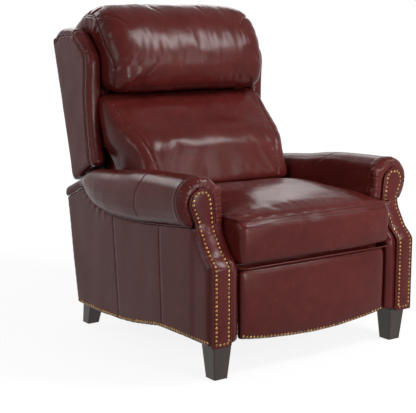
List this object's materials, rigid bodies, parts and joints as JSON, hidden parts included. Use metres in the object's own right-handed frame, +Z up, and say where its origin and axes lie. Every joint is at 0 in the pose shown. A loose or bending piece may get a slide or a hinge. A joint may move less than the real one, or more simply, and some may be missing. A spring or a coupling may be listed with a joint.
{
  "type": "wingback recliner",
  "caption": "Push-back wingback recliner in nail-trimmed leather: rolled arms, box seat cushion, lumbar cushion, head pillow, tapered legs and a linkage footrest.",
  "frame": {"origin": "on the floor, under the middle of the chair's outline", "axes": "+Z up, -Y the way the sitter faces, +X towards the sitter's left"},
  "size_m": [0.889, 1.02, 1.0796],
  "materials": {
    "oxblood_leather": "glossy top-grain leather with fine grain, darker in the folds",
    "dark_wood": "dark espresso stain under satin lacquer",
    "frame_wood": "bare sawn pine",
    "plywood": "bare plywood",
    "black_steel": "black enamel on pressed steel",
    "plain_steel": "zinc plated, dull",
    "nylon": "natural nylon",
    "brass_nails": "antique brass domed nailheads"
  },
  "bodies": {
    "base": {"leg_front_left": "dark_wood", "leg_front_right": "dark_wood", "leg_rear_left": "dark_wood", "leg_rear_right": "dark_wood", "arm_post_left": "oxblood_leather", "arm_post_right": "oxblood_leather", "arm_facing_left": "oxblood_leather", "arm_facing_right": "oxblood_leather", "arm_roll_left": "oxblood_leather", "arm_roll_right": "oxblood_leather", "arm_outer_panel_left": "oxblood_leather", "arm_outer_panel_right": "oxblood_leather", "arm_inner_panel_left": "oxblood_leather", "arm_inner_panel_right": "oxblood_leather", "arm_rear_panel_left": "oxblood_leather", "arm_rear_panel_right": "oxblood_leather", "arm_top_rail_left": "frame_wood", "arm_top_rail_right": "frame_wood", "arm_bottom_rail_left": "frame_wood", "arm_bottom_rail_right": "frame_wood", "arm_rear_post_left": "frame_wood", "arm_rear_post_right": "frame_wood", "base_middle_rail": "frame_wood", "base_rear_rail": "frame_wood", "base_rear_panel": "oxblood_leather", "seat_track_left": "black_steel", "seat_track_right": "black_steel"},
    "seat": {"seat_rail_left": "black_steel", "seat_rail_right": "black_steel", "seat_front_rail": "frame_wood", "seat_rear_rail": "frame_wood", "seat_glide_left": "nylon", "seat_glide_right": "nylon", "seat_springs": "plain_steel", "seat_cushion": "oxblood_leather"},
    "back": {"back_board_left": "plywood", "back_board_right": "plywood", "back_bottom_rail": "frame_wood", "back_top_rail": "frame_wood", "back_outer_panel": "oxblood_leather", "back_lower_panel": "oxblood_leather", "back_cushion": "oxblood_leather", "head_pillow": "oxblood_leather", "wing_left": "oxblood_leather", "wing_right": "oxblood_leather", "back_bracket_left": "black_steel", "back_bracket_right": "black_steel"},
    "rear_cranks": {"link_a_left": "black_steel", "link_a_right": "black_steel", "link_tie_tube": "black_steel"},
    "front_cranks": {"link_b_left": "black_steel", "link_b_right": "black_steel"},
    "carriers": {"link_c_left": "plain_steel", "link_c_right": "plain_steel"},
    "turning_links": {"link_d_left": "plain_steel", "link_d_right": "plain_steel"},
    "footrest": {"footrest_pad": "oxblood_leather", "footrest_board": "plywood", "footrest_bracket_left": "black_steel", "footrest_bracket_right": "black_steel"}
  },
  "joints": [
    {"name": "back_recline", "type": "hinge", "parent": "seat", "child": "back", "pos_m": [0, 0.228, 0.303], "axis": [-1, 0, 0], "range_deg": [0, 30]},
    {"name": "seat_glide", "type": "slide", "parent": "base", "child": "seat", "axis": [0, -1, 0], "range_m": [0, 0.025]},
    {"name": "footrest_extend", "type": "hinge", "parent": "seat", "child": "rear_cranks", "pos_m": [0, -0.1735, 0.2657], "axis": [-1, 0, 0], "range_deg": [0, 113]},
    {"name": "front_crank_swing", "type": "hinge", "parent": "seat", "child": "front_cranks", "pos_m": [0, -0.4388, 0.2774], "axis": [-1, 0, 0], "range_deg": [0, 113.1]},
    {"name": "carrier_pivot", "type": "hinge", "parent": "rear_cranks", "child": "carriers", "pos_m": [0, -0.06021, 0.09126], "axis": [-1, 0, 0], "range_deg": [-113.1, 0]},
    {"name": "turning_link_pivot", "type": "hinge", "parent": "front_cranks", "child": "turning_links", "pos_m": [0, -0.31051, 0.08687], "axis": [-1, 0, 0], "range_deg": [-116.6, 0]},
    {"name": "footrest_tilt", "type": "hinge", "parent": "carriers", "child": "footrest", "pos_m": [0, -0.42, 0.209], "axis": [-1, 0, 0], "range_deg": [0, 82.1]}
  ],
  "couplings": [
    {"joint": "seat_glide", "follows": "back_recline", "m_per_rad": 0.0477},
    {"joint": "front_crank_swing", "follows": "footrest_extend", "ratio": 1},
    {"joint": "carrier_pivot", "follows": "footrest_extend", "ratio": -1},
    {"joint": "turning_link_pivot", "follows": "footrest_extend", "ratio": -1.031},
    {"joint": "footrest_tilt", "follows": "footrest_extend", "ratio": 0.7257}
  ]
}
